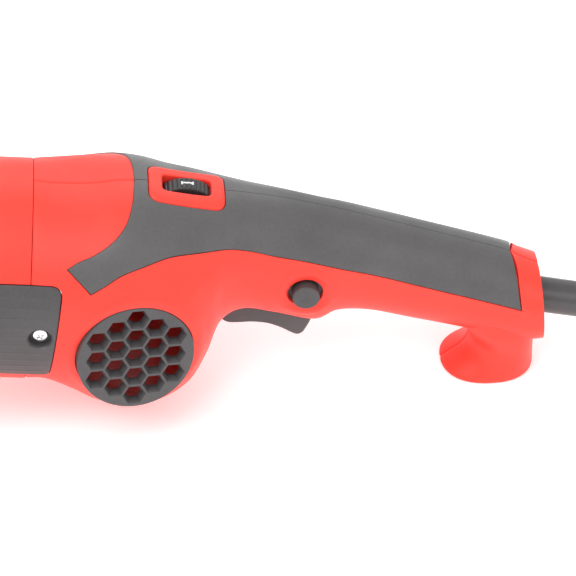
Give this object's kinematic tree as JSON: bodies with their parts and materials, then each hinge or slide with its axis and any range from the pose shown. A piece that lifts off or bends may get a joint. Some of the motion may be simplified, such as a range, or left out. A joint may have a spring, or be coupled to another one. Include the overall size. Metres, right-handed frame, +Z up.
{
  "type": "rotary polisher",
  "caption": "Electric rotary polisher for car paint, with a round foam pad, a loop handle in front, and a long rear handle with trigger, speed dial and foot.",
  "frame": {"origin": "middle of the machine's bounding box without its cord, on the table that it lies on", "axes": "+X towards the rear handle and the cord, +Y to the machine's right, +Z up; the motor axis is tilted 6 degrees tail down, as the machine lies on its pad's edge and its foot"},
  "size_m": [0.6902, 0.2035, 0.1708],
  "materials": {
    "red_plastic": "satin moulded plastic",
    "soft_grip": "soft-touch overmould",
    "dark_plastic": "fine texture",
    "black_plastic": "fine texture",
    "steel": "machined",
    "cast_aluminium": "sand-blasted casting",
    "copper": "enamelled copper wire and bars",
    "brass": "stamped brass",
    "carbon": "pressed carbon",
    "circuit_board": "varnished board",
    "foam": "open-cell foam",
    "cable": "smooth rubber sheath"
  },
  "bodies": {
    "housing": {"motor_housing": "red_plastic", "handle_shell_left": "red_plastic", "handle_shell_right": "red_plastic", "grip_cover_left": "soft_grip", "grip_cover_right": "soft_grip", "brush_cover_left": "dark_plastic", "brush_cover_right": "dark_plastic", "brush_cover_screw_left": "steel", "brush_cover_screw_right": "steel", "vent_grille_left": "dark_plastic", "vent_grille_right": "dark_plastic", "handle_screw_1": "steel", "handle_screw_2": "steel", "handle_screw_3": "steel", "trigger_pin": "steel", "speed_board": "circuit_board", "switch_body": "black_plastic", "cord_guard": "cable", "cord_clamp": "black_plastic", "stator_core": "steel", "field_coil_upper": "copper", "field_coil_lower": "copper", "brush_holder_left": "brass", "brush_holder_right": "brass", "carbon_brush_left": "carbon", "carbon_brush_right": "carbon", "motor_bearing_front": "steel", "motor_bearing_rear": "steel", "gear_housing": "cast_aluminium", "gear_head_screw_1": "steel", "gear_head_screw_2": "steel", "gear_head_screw_3": "steel", "gear_head_screw_4": "steel", "bearing_cover": "cast_aluminium", "spindle_bearing_upper": "steel", "spindle_bearing_lower": "steel", "front_handle": "black_plastic", "front_handle_grip": "soft_grip", "front_handle_bolt_left": "black_plastic", "front_handle_bolt_right": "black_plastic", "power_cord": "cable", "cord_coil": "cable", "cord_tail": "cable", "power_plug": "cable"},
    "spindle_and_pad": {"spindle": "steel", "crown_gear": "steel", "backing_plate": "black_plastic", "polishing_pad": "foam"},
    "armature": {"motor_shaft": "steel", "armature_core": "steel", "armature_winding": "copper", "commutator": "copper", "cooling_fan": "black_plastic", "bevel_pinion": "steel"},
    "trigger": {"trigger": "dark_plastic"},
    "lock_button": {"lock_button": "dark_plastic"},
    "speed_dial": {"speed_dial": "black_plastic"},
    "spindle_lock": {"spindle_lock": "black_plastic"}
  },
  "joints": [
    {"name": "spindle_spin", "type": "hinge", "parent": "housing", "child": "spindle_and_pad", "pos_m": [-0.1752, 0, 0.082], "axis": [0.1045, 0, 0.9945], "continuous": true},
    {"name": "armature_spin", "type": "hinge", "parent": "housing", "child": "armature", "pos_m": [-0.1752, 0, 0.082], "axis": [0.9945, 0, -0.1045], "continuous": true},
    {"name": "trigger_squeeze", "type": "hinge", "parent": "housing", "child": "trigger", "pos_m": [0.07419, 0, 0.04875], "axis": [0, -1, 0], "range_deg": [0, 8], "stiffness_Nm_per_rad": 0.6, "springref_deg": -11.46},
    {"name": "lock_button_press", "type": "slide", "parent": "housing", "child": "lock_button", "axis": [0, 1, 0], "range_m": [0, 0.003], "stiffness_N_per_m": 600, "springref_m": -0.002},
    {"name": "speed_dial_turn", "type": "hinge", "parent": "housing", "child": "speed_dial", "pos_m": [0.05578, 0, 0.09361], "axis": [0, 1, 0], "range_deg": [0, 270]},
    {"name": "spindle_lock_press", "type": "slide", "parent": "housing", "child": "spindle_lock", "axis": [-0.1045, 0, -0.9945], "range_m": [0, 0.004], "stiffness_N_per_m": 800, "springref_m": -0.002}
  ],
  "couplings": [
    {"joint": "armature_spin", "follows": "spindle_spin", "ratio": 3.75}
  ]
}
